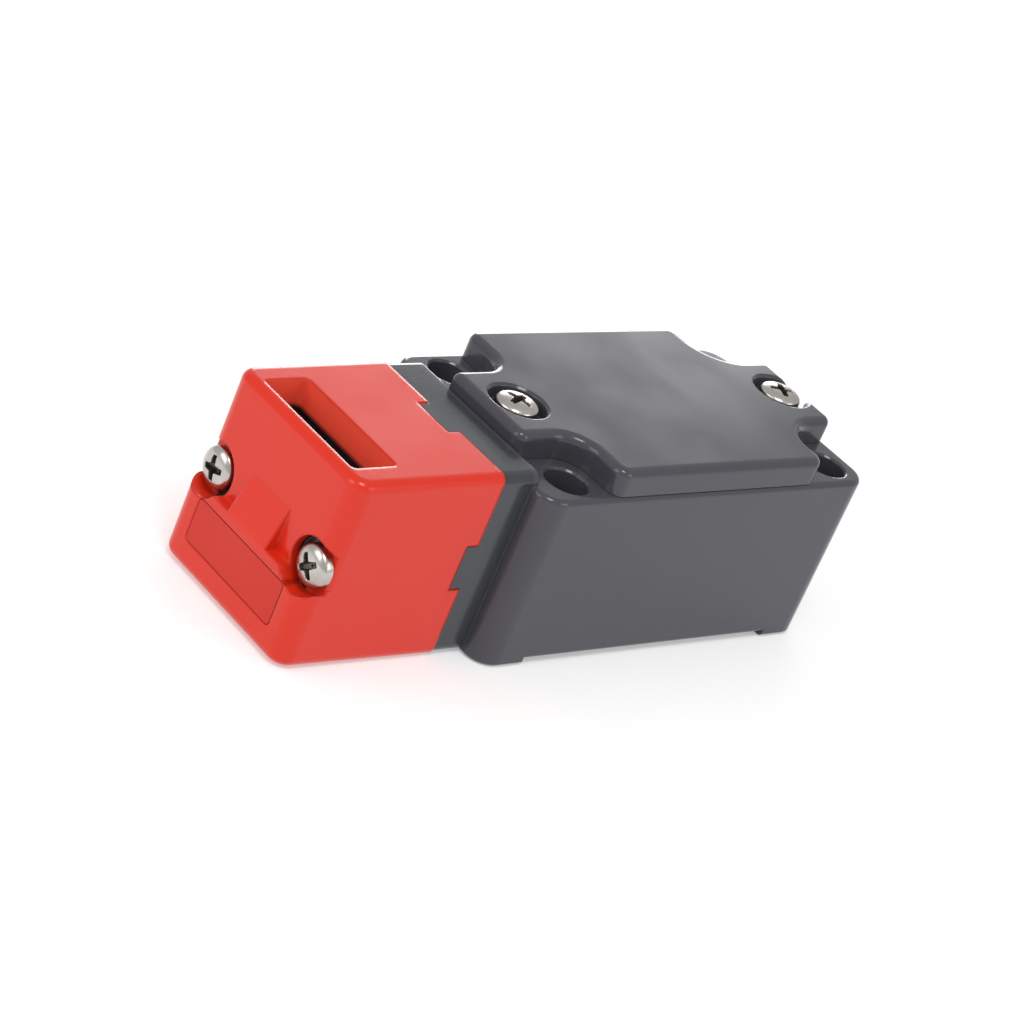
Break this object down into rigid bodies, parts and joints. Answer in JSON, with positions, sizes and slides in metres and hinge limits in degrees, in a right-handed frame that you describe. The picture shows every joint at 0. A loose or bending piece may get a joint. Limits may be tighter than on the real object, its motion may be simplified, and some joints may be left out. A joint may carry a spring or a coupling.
{
  "type": "tongue interlock switch",
  "caption": "Narrow safety interlock switch with a turnable metal key head, screwed cover, corner fixing holes and threaded conduit entry.",
  "frame": {"origin": "centre of the four fixing holes, on the mounting face under the feet", "axes": "+Z out of the mounting face towards the cover, +X from the key head to the conduit end, +Y across the width"},
  "size_m": [0.0797, 0.03, 0.0255],
  "materials": {
    "dark_plastic": "satin moulded plastic",
    "red_paint": "gloss powder coat on die-cast zinc",
    "red_plastic": "matt",
    "stainless": "bright",
    "steel": "ground",
    "black_plastic": "matt",
    "light_plastic": "matt",
    "brass": "plated",
    "contact_metal": "silver plated",
    "zinc_plated": "zinc plated",
    "rubber": "matt"
  },
  "bodies": {
    "switch_body": {"body_housing": "dark_plastic", "cover": "dark_plastic", "cover_gasket": "rubber", "cover_screws": "stainless", "head_housing": "red_paint", "head_screws": "stainless", "slot_plug": "red_plastic", "cam_carrier": "black_plastic", "cam_axle": "steel", "plunger_seal": "rubber", "contact_block_base": "light_plastic", "contact_block_cap": "black_plastic", "nc_terminal_strips": "brass", "aux_terminal_strips": "brass", "terminal_clamps": "zinc_plated", "terminal_screws": "zinc_plated", "block_screws": "zinc_plated", "cap_screws": "zinc_plated", "return_spring": "steel"},
    "key_cam": {"key_cam": "black_plastic"},
    "plunger_and_contacts": {"plunger": "light_plastic", "contact_carrier": "black_plastic", "nc_bridge": "contact_metal", "aux_bridge": "contact_metal", "contact_springs": "steel"}
  },
  "joints": [
    {"name": "key_cam_turn", "type": "hinge", "parent": "switch_body", "child": "key_cam", "pos_m": [-0.0422, 0, 0.0119], "axis": [0, -1, 0], "range_deg": [0, 75]},
    {"name": "plunger_stroke", "type": "slide", "parent": "switch_body", "child": "plunger_and_contacts", "axis": [1, 0, 0], "range_m": [-0.0026, 0], "deforming": ["return_spring"]}
  ],
  "couplings": [
    {"joint": "key_cam_turn", "follows": "plunger_stroke", "rad_per_m": -503.4}
  ]
}
